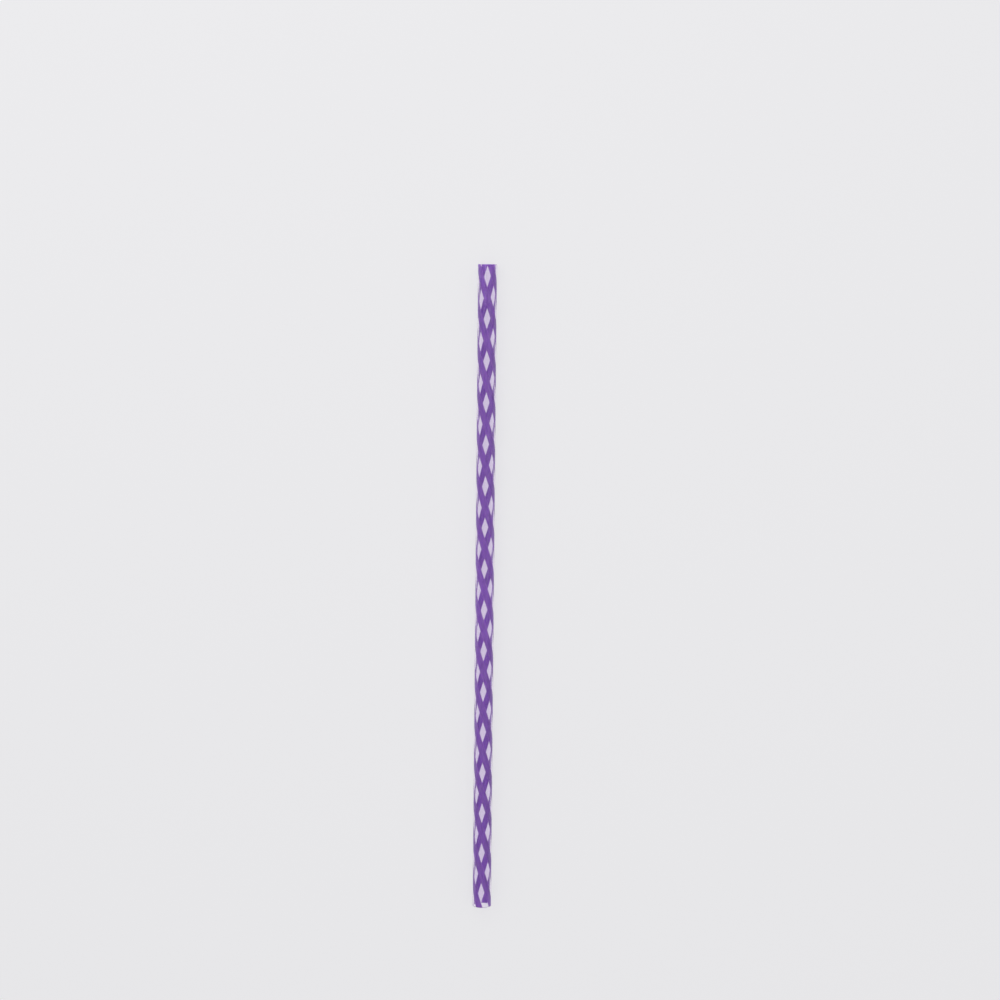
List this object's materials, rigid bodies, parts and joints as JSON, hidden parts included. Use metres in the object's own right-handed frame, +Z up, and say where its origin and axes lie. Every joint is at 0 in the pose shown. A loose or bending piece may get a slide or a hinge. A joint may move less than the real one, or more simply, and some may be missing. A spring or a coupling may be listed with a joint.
{
  "type": "reusable plastic straw",
  "caption": "Straight reusable drinking straw: a clear hard plastic tube with coloured helical stripes drawn into its wall, open and cut square at both ends.",
  "frame": {"origin": "on the surface that the straw lies on, straight below the middle of the tube", "axes": "+Y along the straw, towards the end that is uppermost in the picture; +Z up, away from the surface; +X to the right of the picture"},
  "size_m": [0.0074, 0.255, 0.0074],
  "materials": {
    "clear_plastic": "clear hard plastic, smooth, with fine lines from the die along the tube",
    "purple_plastic": "translucent purple plastic, flush in the clear wall, gloss"
  },
  "bodies": {
    "root": {"clear_tube": "clear_plastic", "stripes": "purple_plastic"}
  },
  "joints": []
}
